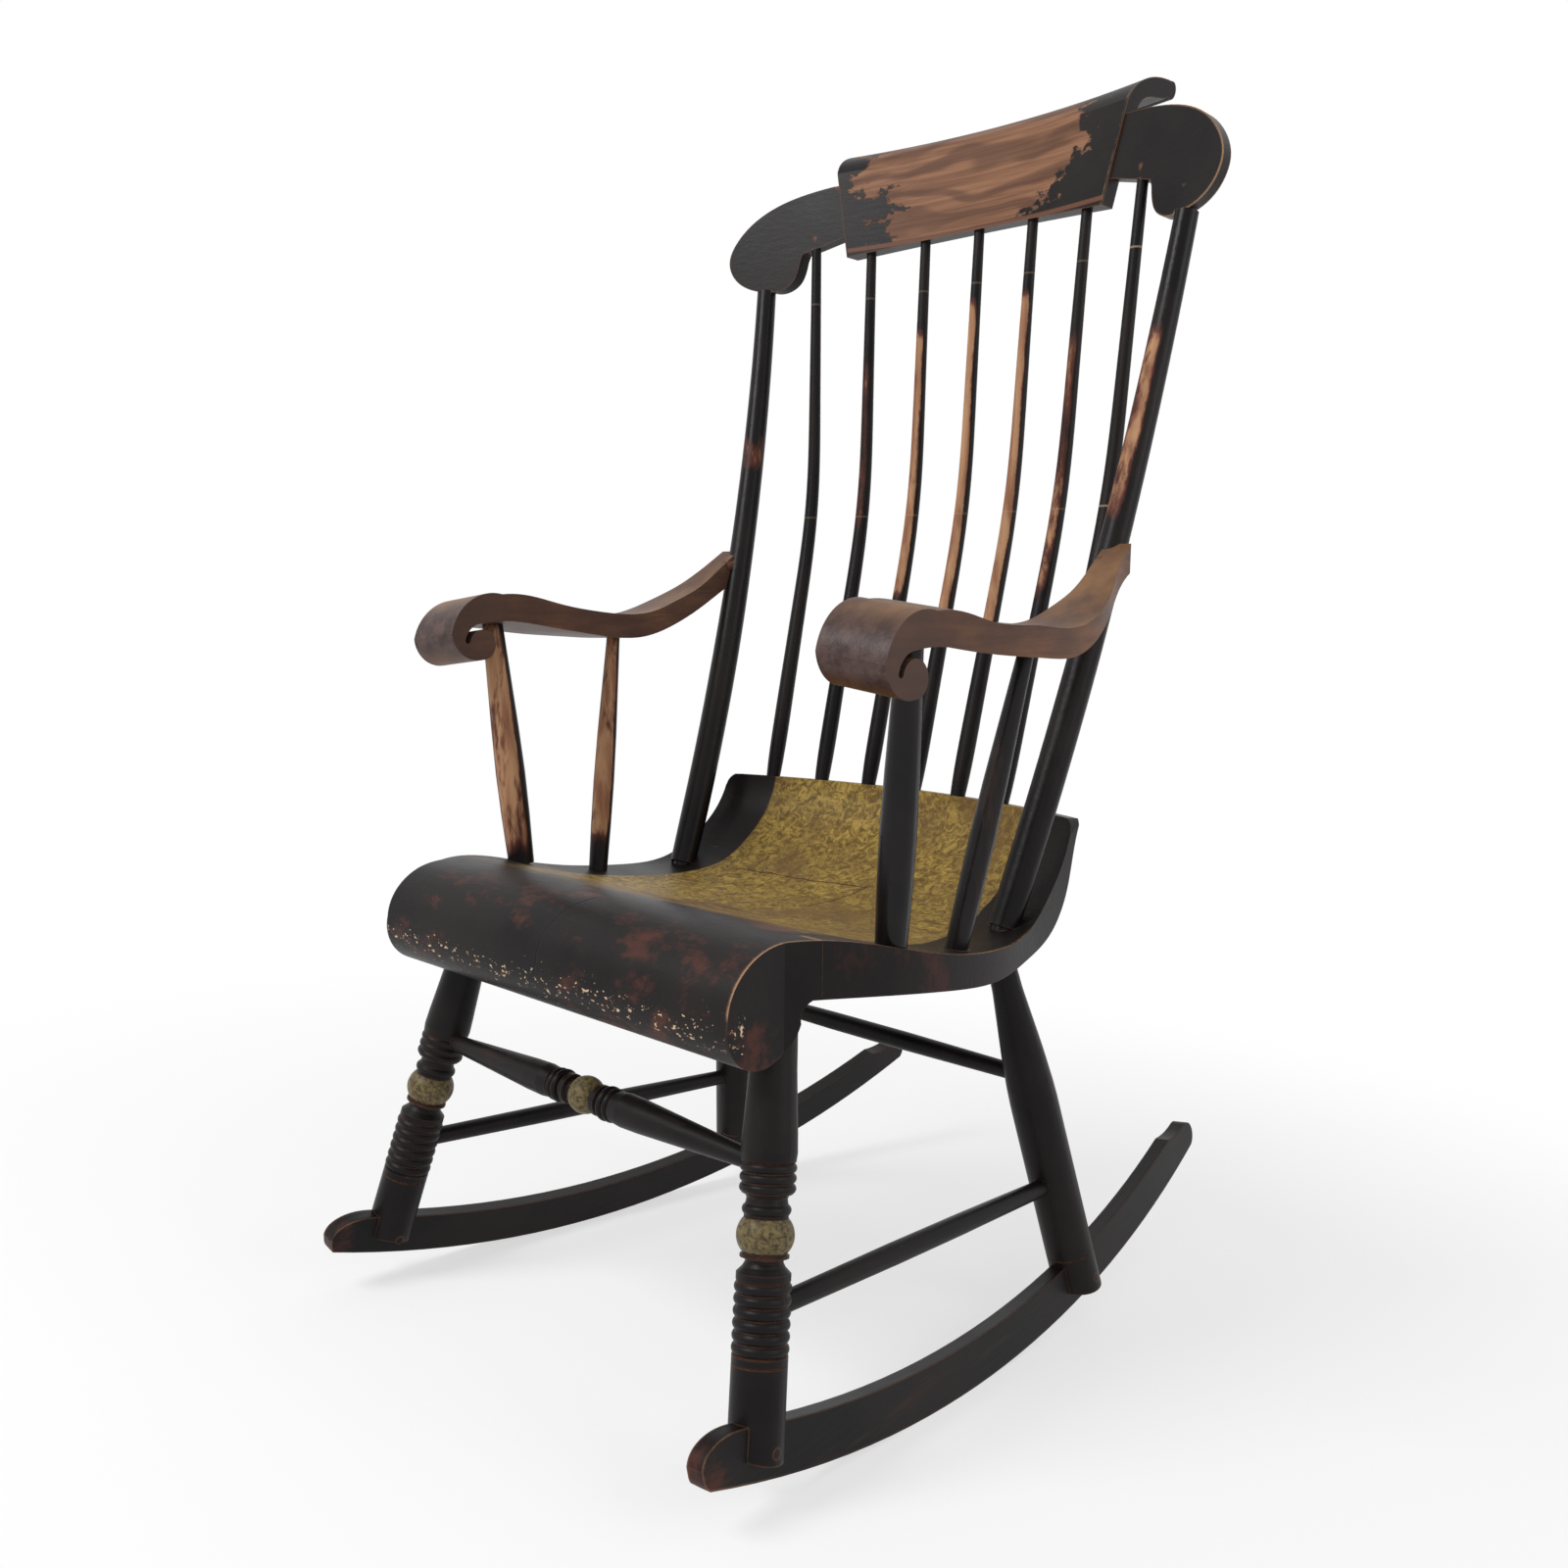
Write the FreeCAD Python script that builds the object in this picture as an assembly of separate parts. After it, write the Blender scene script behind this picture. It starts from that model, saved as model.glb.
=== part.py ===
import FreeCAD, Part
import math
import os

from FreeCAD import Vector

# A Boston rocking chair, in millimetres.
# +Z is up, the sitter faces -Y, and +X is the sitter's left.
# The sizes describe the chair with its rockers level: Y and Z are counted from the floor under the
# middle of the rockers. The finished chair is then rolled to where it comes to rest, and its origin
# lies on the floor, midway between the rockers and midway from their toes to their heels.

# Rockers: two boards cut to a long arc, leaning with the legs and closer together at the heel
TOE_Y = -351.0
HEEL_Y = 362.5
ROCKER_SPREAD = 432.6
ROCKER_TOE_IN = 0.0515
ROCKER_LEAN = 9.1
ROCKER_THICKNESS = 14.0
ROCKER_SOLE_RADIUS = 1005.0
ROCKER_TOP_RADIUS = 975.0
ROCKER_WAIST = 34.0
ROCKER_BALANCE_Y = 9.7
TOE_REACH = 40.0
TOE_CORNER = 7.0
HEEL_RADIUS = 13.0
HEEL_TAPER = 45.0

# Legs: turned, slotted at the foot to straddle the rocker, round tenons at the top
FRONT_LEG_RADIUS = 18.8
FRONT_LEG_TOP_RADIUS = 15.0
FRONT_LEG_FOOT = (220.0, -295.0, 66.0)
FRONT_LEG_TOP = (171.5, -226.0)
BACK_LEG_RADIUS = 20.6
BACK_LEG_TOP_RADIUS = 11.0
BACK_LEG_FOOT = (209.5, 119.0, 25.0)
BACK_LEG_TOP = (153.5, 61.5)
FRONT_CHEEK_GAP = 13.0
BACK_CHEEK_GAP = 11.0
LEG_TENON_RADIUS = 8.5
LEG_TENON_LENGTH = 14.0
PEG_RADIUS = 3.5

# Stretchers, with round tenons into the legs
STRETCHER_TENON_RADIUS = 5.5
STRETCHER_BURIED = 4.0
FRONT_STRETCHER_Z = 234.5
FRONT_STRETCHER_RADIUS = 11.5
FRONT_STRETCHER_END_RADIUS = 6.8
FRONT_STRETCHER_BALL = 14.5
SIDE_STRETCHER_FRONT_Z = 145.5
SIDE_STRETCHER_BACK_Z = 109.0
SIDE_STRETCHER_RADIUS = 8.2
REAR_STRETCHER_Z = 205.5
REAR_STRETCHER_RADIUS = 8.5
STRETCHER_END_RADIUS = 7.2

# Seat: a front roll, a shaped plank and a curved back riser, glued edge to edge
SEAT_FRONT_Y = -299.5
SEAT_ROLL_HALF_WIDTH = 198.0
SEAT_HALF_WIDTH = 231.0
SEAT_REAR_HALF_WIDTH = 201.0
SEAT_THICKNESS = 25.0
SEAT_TOP_Z = 349.5
SEAT_ROLL_TOP_Z = 388.0
SEAT_ROLL_BOTTOM_Z = 308.5
SEAT_RISER_TOP_Z = 429.5
SEAT_RISER_THICKNESS = 14.0
SEAT_DISH = 6.0
RISER_END_Y = 100.0
RISER_SAG = 39.5
RISER_CORNER = 12.0
ROLL_JOINT_Y = -221.0
RISER_JOINT_Z = 362.0

# Back posts, bent to a long curve
POST_RADIUS = 13.0
POST_TOP_RADIUS = 9.6
POST_BASE = (188.0, 22.0)
POST_TOP_X = 234.5
POST_BOW = 18.0
POST_TENON_RADIUS = 9.0
POST_TENON_LENGTH = 14.0
POST_TOP_TENON_RADIUS = 5.0
POST_TOP_TENON_LENGTH = 20.0

# Seven spindles, straight and leaning below, bent upright above
SPINDLE_COUNT = 7
SPINDLE_RADIUS = 8.0
SPINDLE_TOP_RADIUS = 4.8
SPINDLE_TENON_RADIUS = 4.0
SPINDLE_TENON_LENGTH = 12.0
SPINDLE_BASE_PITCH = 53.3
SPINDLE_TOP_PITCH = 61.0
SPINDLE_LOW_LEAN = 0.262
SPINDLE_BEND_START = 180.0
SPINDLE_BEND_LENGTH = 180.0

# Crest rail: a thick tablet with a rolled top edge between two thinner scrolled ears
CREST_RADIUS = 680.0
CREST_FRONT_Y = 222.5
CREST_BOTTOM_Z = 947.0
CREST_TOP_Z = 1059.5
CREST_LEAN = 0.11
TABLET_THICKNESS = 17.0
TABLET_HALF_BOTTOM = 144.0
TABLET_HALF_TOP = 169.0
TABLET_ARCH = 6.0
TABLET_ROLL_TIP = 13.0
TABLET_ROLL_REACH = 72.0
EAR_THICKNESS = 13.0
EAR_SETBACK = 1.5
EAR_REACH = 271.5
EAR_TOP_Z = 1019.5
EAR_ROOT_Z = 966.0
EAR_LOBE_BOTTOM_Z = 921.5

# Arms: S-curved and scrolled down at the front, tipped a little outward there
ARM_THICKNESS = 22.0
ARM_CROWN_Z = 610.5
ARM_DIP_Z = 592.5
ARM_END_Z = 655.0
ARM_OUTWARD_DROP = 7.0
ARM_OUTER_THINNING = 12.0
ARM_FRONT_Y = -227.0
ARM_END_Y = 121.0
ARM_INNER_X = 204.0
ARM_OUTER_X = 262.0
ARM_TENON_RADIUS = 5.5
ARM_TENON_LENGTH = 12.0
SCROLL_RADIUS = 13.0
SCROLL_SLOT = 5.0

# Arm supports
FRONT_SUPPORT_BASE = (212.5, -154.0)
FRONT_SUPPORT_TOP = (233.0, -165.5)
FRONT_SUPPORT_RADIUS = 13.0
FRONT_SUPPORT_TOP_RADIUS = 9.0
REAR_SUPPORT_BASE = (207.5, -69.5)
REAR_SUPPORT_TOP = (232.5, -27.0)
REAR_SUPPORT_RADIUS = 9.8
REAR_SUPPORT_TOP_RADIUS = 6.2
SUPPORT_TENON_RADIUS = 5.2
SUPPORT_TENON_LENGTH = 11.0

# Glue line left round every tenon and between glued faces
GLUE = 0.1
# How far a shoulder is let into the surface that it meets
LET_IN = 1.0

HUGE = 2000.0


def joined(shapes):
    """Joins shapes that belong to one piece."""
    return shapes[0].multiFuse(shapes[1:]).removeSplitter()


def mirrored(shape):
    """The same shape for the other side of the chair."""
    return shape.mirror(Vector(0, 0, 0), Vector(1, 0, 0))


def along(shape, base, tip):
    """Turns a shape made up the Z axis so that it runs from base towards tip."""
    placed = shape.copy()
    placed.Placement = FreeCAD.Placement(base, FreeCAD.Rotation(Vector(0, 0, 1), tip - base))
    return placed


def between(a, b, share):
    return a + (b - a) * share


def at_height(a, b, z):
    """The point of the line from a to b at height z."""
    return between(a, b, (z - a.z) / (b.z - a.z))


def direction(a, b):
    way = b - a
    way.normalize()
    return way


def smooth(points):
    """An edge that runs smoothly through the points."""
    curve = Part.BSplineCurve()
    curve.interpolate(points)
    return curve.toShape()


def arc(a, b, c):
    return Part.Arc(a, b, c).toShape()


def line(a, b):
    return Part.LineSegment(a, b).toShape()


def chain(points):
    """Straight edges through the points."""
    return [line(a, b) for a, b in zip(points, points[1:])]


def yz(y, z):
    return Vector(0, y, z)


def turned(profile, extra=0.0):
    """A turned piece from (radius, height) pairs; a third value bulges the stretch before it."""
    here = Vector(profile[0][0] + extra, 0, profile[0][1] - extra)
    edges = [line(Vector(0, 0, here.z), here)]
    last = len(profile) - 1
    for index, step in enumerate(profile[1:], start=1):
        end = extra if index == last else 0.0
        there = Vector(step[0] + extra, 0, step[1] + end)
        if len(step) == 3:
            edges.append(arc(here, Vector(step[2] + extra, 0, (here.z + there.z) / 2), there))
        else:
            edges.append(line(here, there))
        here = there
    edges.append(line(here, Vector(0, 0, here.z)))
    edges.append(line(Vector(0, 0, here.z), Vector(0, 0, profile[0][1] - extra)))
    return Part.Face(Part.Wire(edges)).revolve(Vector(0, 0, 0), Vector(0, 0, 1), 360)


def bent_rod(path, radii):
    """A round rod through (point, direction) pairs with its own radius at each."""
    rings = [Part.Wire([Part.Circle(p, way, r).toShape()]) for (p, way), r in zip(path, radii)]
    return Part.makeLoft(rings, True, False)


def pin(base, tip, radius, extra=0.0):
    """A plain round pin; extra makes it larger all round."""
    way = direction(base, tip)
    length = base.distanceToPoint(tip) + 2 * extra
    return Part.makeCylinder(radius + extra, length, base - way * extra, way)


# Rockers


def sole_z(y):
    return ROCKER_SOLE_RADIUS - math.sqrt(ROCKER_SOLE_RADIUS**2 - (y - ROCKER_BALANCE_Y) ** 2)


def upper_edge_z(y):
    """Height of the rocker's upper edge."""
    rise = ROCKER_TOP_RADIUS - math.sqrt(ROCKER_TOP_RADIUS**2 - (y - ROCKER_BALANCE_Y) ** 2)
    return ROCKER_WAIST + rise


def placed_on_rocker(board):
    """Leans a board that stands in the YZ plane and moves it to the left rocker's place."""
    placed = board.copy()
    placed.rotate(Vector(0, 0, 0), Vector(0, 1, 0), -ROCKER_LEAN)
    placed.rotate(Vector(0, 0, 0), Vector(0, 0, 1), math.degrees(math.atan(ROCKER_TOE_IN)))
    placed.translate(Vector(ROCKER_SPREAD / 2, 0, 0))
    return placed


def board_from(edges, thickness):
    """A board centred on the YZ plane."""
    board = Part.Face(Part.Wire(edges)).extrude(Vector(thickness, 0, 0))
    board.translate(Vector(-thickness / 2, 0, 0))
    return board


def beside_heel(out, up):
    """A point out past the end of the sole's arc and up square to it."""
    slope = math.asin((HEEL_Y - ROCKER_BALANCE_Y) / ROCKER_SOLE_RADIUS)
    y = HEEL_Y + out * math.cos(slope) - up * math.sin(slope)
    return yz(y, sole_z(HEEL_Y) + out * math.sin(slope) + up * math.cos(slope))


def make_rocker():
    spare = ROCKER_THICKNESS * math.tan(math.radians(ROCKER_LEAN)) / 2
    sole_start = yz(TOE_Y + TOE_CORNER, sole_z(TOE_Y + TOE_CORNER) - spare)
    sole_end = beside_heel(0, -spare)
    front_low = yz(TOE_Y + 0.5, sole_z(TOE_Y) + TOE_CORNER * 0.8)
    corner = yz(TOE_Y + TOE_CORNER * 0.32, sole_z(TOE_Y) + TOE_CORNER * 0.1)
    front_high = yz(TOE_Y, upper_edge_z(TOE_Y) - TOE_REACH * 0.6)
    top_start = yz(TOE_Y + TOE_REACH, upper_edge_z(TOE_Y + TOE_REACH))
    top_end = yz(HEEL_Y - HEEL_TAPER, upper_edge_z(HEEL_Y - HEEL_TAPER))
    heel_top = beside_heel(0, 2 * HEEL_RADIUS)
    nose = smooth([
        top_start,
        yz(TOE_Y + TOE_REACH * 0.66, upper_edge_z(TOE_Y + TOE_REACH * 0.66) - TOE_REACH * 0.055),
        yz(TOE_Y + TOE_REACH * 0.36, upper_edge_z(TOE_Y + TOE_REACH * 0.36) - TOE_REACH * 0.18),
        yz(TOE_Y + TOE_REACH * 0.12, upper_edge_z(TOE_Y + TOE_REACH * 0.12) - TOE_REACH * 0.37),
        front_high,
    ])
    taper = beside_heel(-HEEL_TAPER * 0.4, HEEL_RADIUS * 0.8 + ROCKER_WAIST * 0.53)
    board = board_from(
        [
            arc(sole_start, yz(ROCKER_BALANCE_Y, -spare), sole_end),
            arc(sole_end, beside_heel(HEEL_RADIUS, HEEL_RADIUS), heel_top),
            smooth([heel_top, taper, top_end]),
            arc(top_end, yz(ROCKER_BALANCE_Y, ROCKER_WAIST), top_start),
            nose,
            line(front_high, front_low),
            arc(front_low, corner, sole_start),
        ],
        ROCKER_THICKNESS,
    )
    return placed_on_rocker(board).common(above_sole(0))


def rocker_slot():
    """The room that a leg's slot leaves for the rocker, open below."""
    reach = HEEL_Y
    front = yz(-reach, upper_edge_z(-reach) + GLUE)
    back = yz(reach, upper_edge_z(reach) + GLUE)
    middle = yz(ROCKER_BALANCE_Y, ROCKER_WAIST + GLUE)
    edges = [arc(front, middle, back)]
    edges += chain([back, yz(reach, -reach), yz(-reach, -reach), front])
    return placed_on_rocker(board_from(edges, ROCKER_THICKNESS + 2 * GLUE))


def above_sole(gap):
    """Everything above the rocker's sole by the gap, for trimming the cheeks of the legs."""
    start = Vector(-HUGE / 2, ROCKER_BALANCE_Y, ROCKER_SOLE_RADIUS)
    return Part.makeCylinder(ROCKER_SOLE_RADIUS - gap, HUGE, start, Vector(1, 0, 0))


def make_peg(foot, leg_radius, extra=0.0):
    """A peg driven square through both cheeks of a leg and the rocker between them."""
    lean = math.radians(ROCKER_LEAN)
    across = Vector(1, ROCKER_TOE_IN, 0)
    across.normalize()
    across = across * math.cos(lean) + Vector(0, 0, math.sin(lean))
    reach = leg_radius + LET_IN
    return pin(foot - across * reach, foot + across * reach, PEG_RADIUS, extra)


# Seat


def riser_push(x):
    """How far behind its ends the riser's curve stands at x."""
    return RISER_SAG * (1 - (x / SEAT_REAR_HALF_WIDTH) ** 2)


def seat_profile(x):
    """The seat cut through at x: front roll, thin middle and upswept riser."""
    push = riser_push(x)
    hollow = SEAT_DISH * max(0.0, 1 - (x / SEAT_HALF_WIDTH) ** 2)
    top = SEAT_TOP_Z
    under = SEAT_TOP_Z - SEAT_THICKNESS
    crown = SEAT_ROLL_TOP_Z
    low = SEAT_ROLL_BOTTOM_Z
    rim = SEAT_RISER_TOP_Z
    front = SEAT_FRONT_Y
    nose = Vector(x, front, (crown + low) / 2)
    riser_front = Vector(x, RISER_END_Y + push, rim)
    riser_back = Vector(x, riser_front.y + SEAT_RISER_THICKNESS, rim - 1.5)
    lip = Vector(x, front + 72, under + 22)
    throat = Vector(x, front + 64, low + 23)
    upper = smooth([
        nose,
        Vector(x, front + 10, crown - 17.5),
        Vector(x, front + 31, crown - 3.5),
        Vector(x, front + 58, crown),
        Vector(x, front + 97, crown - 4 - hollow * 0.4),
        Vector(x, front + 150, top + 21 - hollow * 0.8),
        Vector(x, front + 213, top + 6.5 - hollow),
        Vector(x, -24 + push * 0.2, top - hollow * 0.9),
        Vector(x, 26 + push * 0.6, top + 3.5 - hollow * 0.5),
        Vector(x, 59 + push * 0.9, top + 21),
        Vector(x, RISER_END_Y - 17 + push, rim - 36),
        riser_front,
    ])
    lower = smooth([
        riser_back,
        Vector(x, RISER_END_Y + 3 + push, rim - 29),
        Vector(x, 92 + push, top + 17),
        Vector(x, 71 + push * 0.9, under + 18),
        Vector(x, 22 + push * 0.6, under + 4),
        Vector(x, -35 + push * 0.2, under + 1),
        Vector(x, front + 180, under + 10),
        Vector(x, front + 115, under + 18),
        lip,
    ])
    return Part.Wire([
        upper,
        line(riser_front, riser_back),
        lower,
        arc(lip, Vector(x, front + 66, low + 33), throat),
        arc(throat, Vector(x, front + 42, low), nose),
    ])


def seat_plan():
    """The seat's outline from above, as a tall block."""
    side = [
        Vector(SEAT_ROLL_HALF_WIDTH, -247, 0),
        Vector(SEAT_ROLL_HALF_WIDTH + 8, -227, 0),
        Vector(SEAT_HALF_WIDTH - 12, -186, 0),
        Vector(SEAT_HALF_WIDTH - 2, -135, 0),
        Vector(SEAT_HALF_WIDTH, -90, 0),
        Vector(SEAT_HALF_WIDTH - 4, -40, 0),
        Vector(SEAT_HALF_WIDTH - 16, 17, 0),
        Vector(SEAT_REAR_HALF_WIDTH + 5, 67, 0),
        Vector(SEAT_REAR_HALF_WIDTH, 115, 0),
    ]
    front_corner = Vector(SEAT_ROLL_HALF_WIDTH, SEAT_FRONT_Y - 30, 0)
    back_corner = Vector(SEAT_REAR_HALF_WIDTH, 200, 0)
    other = [Vector(-p.x, p.y, 0) for p in reversed(side)]
    other_back = Vector(-back_corner.x, back_corner.y, 0)
    other_front = Vector(-front_corner.x, front_corner.y, 0)
    outline = [line(front_corner, side[0]), smooth(side)]
    outline += chain([side[-1], back_corner, other_back, other[0]])
    outline.append(smooth(other))
    outline += chain([other[-1], other_front, front_corner])
    return Part.Face(Part.Wire(outline)).extrude(Vector(0, 0, CREST_TOP_Z))


def riser_corner_cutter():
    """Rounds the riser's upper left corner."""
    edge = SEAT_REAR_HALF_WIDTH + 1
    top = SEAT_RISER_TOP_Z + 1
    r = RISER_CORNER
    turn = r * (1 - math.sqrt(0.5))
    side = Vector(edge, 0, top - r)
    crown = Vector(edge - r, 0, top)
    edges = [arc(side, Vector(edge - turn, 0, top - turn), crown)]
    edges += chain([crown, Vector(edge - r, 0, top + r), Vector(edge + r, 0, top + r)])
    edges += chain([Vector(edge + r, 0, top + r), Vector(edge + r, 0, top - r), side])
    return Part.Face(Part.Wire(edges)).extrude(Vector(0, 300, 0))


def make_seat_block():
    stations = [-240, -180, -120, -60, 0, 60, 120, 180, 240]
    block = Part.makeLoft([seat_profile(x) for x in stations], True, False)
    block = block.common(seat_plan())
    corner = riser_corner_cutter()
    return block.cut(corner).cut(mirrored(corner))


def half_space(y, z):
    """Everything behind y and above z."""
    return Part.makeBox(HUGE, HUGE, HUGE, Vector(-HUGE / 2, y, z))


def split_seat(block):
    """Cuts the seat into its three glued boards."""
    half = GLUE / 2
    front = block.cut(half_space(ROLL_JOINT_Y - half, -HUGE / 2))
    plank = block.common(half_space(ROLL_JOINT_Y + half, -HUGE / 2))
    plank = plank.cut(half_space(0, RISER_JOINT_Z - half))
    riser = block.common(half_space(0, RISER_JOINT_Z + half))
    return front, plank, riser


def height_inside(shape, x, y, highest=True):
    """Height of the shape's top, or its underside, straight above x, y."""
    probe = line(Vector(x, y, 0), Vector(x, y, CREST_TOP_Z + 100))
    box = shape.common(probe).BoundBox
    return box.ZMax if highest else box.ZMin


# Legs


FRONT_FOOT = Vector(*FRONT_LEG_FOOT)
BACK_FOOT = Vector(*BACK_LEG_FOOT)
LEG_SHOULDER_Z = SEAT_TOP_Z - SEAT_THICKNESS + LET_IN


def bead(low, high, edge, crown):
    """A bead between two heights: square in from its edge and bulging to its crown."""
    return [(edge, low), (edge, high, crown)]


def front_leg_profile(foot, top):
    """From the foot: plain, six rings, neck, ball, neck, three rings, taper, tenon."""
    full = FRONT_LEG_RADIUS
    groove = full - 1.4
    neck = full - 6.0
    stretch = (top - foot).Length / (top.z - foot.z)
    steps = [(full, -60), (full, 48.7), (full - 0.8, 49.2), (full, 49.8), (full, 54.6)]
    for ring in range(6):
        low = 55.2 + ring * 7.35
        steps += bead(low, low + 6.75, groove, full + 0.5)
    steps += [
        (full - 0.4, 99.6),
        (full - 0.4, 104.0),
        (neck + 1.6, 107.8),
        (neck, 110.6),
        (neck + 0.4, 112.6),
        (full - 2.2, 113.4),
        (full - 2.2, 115.0),
        (full - 3.6, 115.6),
        (full - 3.6, 116.4),
        (full - 3.8, 137.6, full + 0.8),
        (full - 3.8, 139.2),
        (full - 2.8, 140.6),
        (full - 2.8, 144.6, full - 2.2),
        (neck + 1.6, 146.2),
        (neck + 1.0, 149.6),
        (neck + 2.0, 151.4),
        (groove, 152.6),
    ]
    for ring in range(3):
        low = 153.0 + ring * 6.4
        steps += bead(low, low + 5.8, groove, full + 0.4)
    steps += [(full - 0.2, 172.6), (full + 0.5, 178.0), (full, 190.0), (full - 1.3, 211.0)]
    steps += [(full - 2.4, 230.0)]
    steps = [(step[0], step[1] * stretch) + tuple(step[2:]) for step in steps]
    shoulder = (top - foot).Length
    return steps + leg_end(shoulder, FRONT_LEG_TOP_RADIUS)


def leg_end(shoulder, radius):
    """The shoulder and the tenon at the top of a leg."""
    return [
        (radius, shoulder),
        (LEG_TENON_RADIUS, shoulder),
        (LEG_TENON_RADIUS, shoulder + LEG_TENON_LENGTH),
    ]


def back_leg_profile(foot, top):
    """The plain back leg: slim where it meets the seat, full in its lower half."""
    full = BACK_LEG_RADIUS
    shoulder = (top - foot).Length
    steps = [
        (full, -45),
        (full, 22),
        (full - 0.8, 22.6),
        (full, 23.2),
        (full, shoulder * 0.52),
        (full - 0.5, shoulder * 0.57),
        (full - 2.6, shoulder * 0.67),
        (full - 7.6, shoulder * 0.84),
    ]
    return steps + leg_end(shoulder, BACK_LEG_TOP_RADIUS)


def make_leg(foot, top, profile, cheek_gap, peg):
    """A leg with its rocker slot, trimmed cheeks and peg hole; and the room that its top needs."""
    leg = along(turned(profile(foot, top)), foot, top)
    room = along(turned(profile(foot, top), GLUE), foot, top)
    leg = leg.common(above_sole(cheek_gap)).cut(rocker_slot()).cut(peg)
    return leg, room


# Stretchers


def stretcher_ends(a, b):
    """Where a stretcher's tenons end inside the two legs whose axes it joins at a and b."""
    way = direction(a, b)
    return a - way * STRETCHER_BURIED, b + way * STRETCHER_BURIED


def make_stretcher(a, b, a_radius, b_radius, profile):
    """A stretcher between leg axes at a and b; returns it and the room that it needs."""
    base, tip = stretcher_ends(a, b)
    span = base.distanceToPoint(tip)
    start = STRETCHER_BURIED + a_radius - LET_IN
    end = span - STRETCHER_BURIED - b_radius + LET_IN
    tenon = STRETCHER_TENON_RADIUS
    steps = [(tenon, 0), (tenon, start)] + profile(start, end) + [(tenon, end), (tenon, span)]
    return along(turned(steps), base, tip), along(turned(steps, GLUE), base, tip)


def plain_stretcher(radius):
    """The profile of a plain stretcher that swells towards its middle."""
    def profile(start, end):
        middle = (start + end) / 2
        thin = STRETCHER_END_RADIUS
        return [(thin, start), (radius, middle - 45), (radius, middle + 45), (thin, end)]
    return profile


def front_stretcher_profile(start, end):
    """Long tapers either side of rings, a ball and rings again."""
    middle = (start + end) / 2
    body = FRONT_STRETCHER_RADIUS
    half = [
        (FRONT_STRETCHER_END_RADIUS, end - middle),
        (FRONT_STRETCHER_END_RADIUS + 0.8, end - middle - 16),
        (body + 1.0, 64),
        (body + 1.4, 47),
        (body + 0.4, 37),
        (body - 1.6, 36),
        (body - 1.6, 30, body + 1.4),
        (body - 1.6, 24, body + 1.8),
        (body - 2.6, 22.5),
        (body + 0.4, 20.5),
        (body + 0.4, 16.5),
        (body - 3.0, 14.5),
        (body - 3.0, 11.5),
    ]
    steps = [(s[0], middle - s[1]) + tuple(s[2:]) for s in half]
    steps.append((body - 3.0, middle + 11.5, FRONT_STRETCHER_BALL))
    for index in range(len(half) - 2, -1, -1):
        bulge = tuple(half[index + 1][2:])
        steps.append((half[index][0], middle + half[index][1]) + bulge)
    return steps


# Back posts and spindles


def bow_point(base, tip, share):
    """A point and direction at a share of the bowed line from base to tip."""
    half = base.distanceToPoint(tip) / 2
    radius = (half**2 + POST_BOW**2) / (2 * POST_BOW)
    angle = math.asin(half / radius) * (2 * share - 1)
    up = direction(base, tip)
    out = Vector(0, 1, 0)
    out = out - up * out.dot(up)
    out.normalize()
    centre = between(base, tip, 0.5) - out * (radius - POST_BOW)
    point = centre + up * (radius * math.sin(angle)) + out * (radius * math.cos(angle))
    return point, up * math.cos(angle) - out * math.sin(angle)


def make_post(base, tip, extra=0.0):
    """A post from its shoulder in the seat to its shoulder under the crest rail's ear."""
    shares = [step / 8 for step in range(9)]
    path = [bow_point(base, tip, share) for share in shares]
    slim = POST_TOP_RADIUS - POST_RADIUS
    radii = [POST_RADIUS + slim * max(0.0, (share - 0.35) / 0.65) + extra for share in shares]
    radii[0] -= 0.8
    foot, foot_way = path[0]
    head, head_way = path[-1]
    lower = pin(foot - foot_way * POST_TENON_LENGTH, foot + foot_way, POST_TENON_RADIUS, extra)
    in_ear_z = head.z + POST_TOP_TENON_LENGTH
    in_ear = Vector(head.x, ear_middle_y(head.x, in_ear_z), in_ear_z)
    upper = pin(head - head_way, in_ear, POST_TOP_TENON_RADIUS, extra)
    return joined([bent_rod(path, radii), lower, upper])


def spindle_point(base, tip, rise):
    """A point and direction at a height above the base: leaning, then bent more upright."""
    height = tip.z - base.z
    start = SPINDLE_BEND_START
    length = SPINDLE_BEND_LENGTH
    beyond_bend = height - start - length / 2
    change = (tip.y - base.y - SPINDLE_LOW_LEAN * height) / beyond_bend
    t = (rise - start) / length
    if t <= 0:
        turned_share = 0.0
        offset = 0.0
    elif t < 1:
        turned_share = 3 * t**2 - 2 * t**3
        offset = length * (t**3 - t**4 / 2)
    else:
        turned_share = 1.0
        offset = length * (t - 0.5)
    side = (tip.x - base.x) / height
    y = base.y + SPINDLE_LOW_LEAN * rise + change * offset
    way = Vector(side, SPINDLE_LOW_LEAN + change * turned_share, 1)
    way.normalize()
    return Vector(base.x + side * rise, y, base.z + rise), way


def make_spindle(base, tip, extra=0.0):
    """A spindle from its riser shoulder to its crest shoulder."""
    steps = 14
    path = []
    radii = []
    for step in range(steps + 1):
        share = step / steps
        path.append(spindle_point(base, tip, share * (tip.z - base.z)))
        slim = (SPINDLE_TOP_RADIUS - SPINDLE_RADIUS) * max(0.0, share - 0.12) / 0.88
        radii.append(SPINDLE_RADIUS + slim + extra)
    radii[0] -= 1.2
    low = path[0][1]
    high = path[-1][1]
    foot = pin(base - low * SPINDLE_TENON_LENGTH, base + low, SPINDLE_TENON_RADIUS, extra)
    head = pin(tip - high, tip + high * SPINDLE_TENON_LENGTH, SPINDLE_TENON_RADIUS, extra)
    return joined([bent_rod(path, radii), foot, head])


# Crest rail


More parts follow.
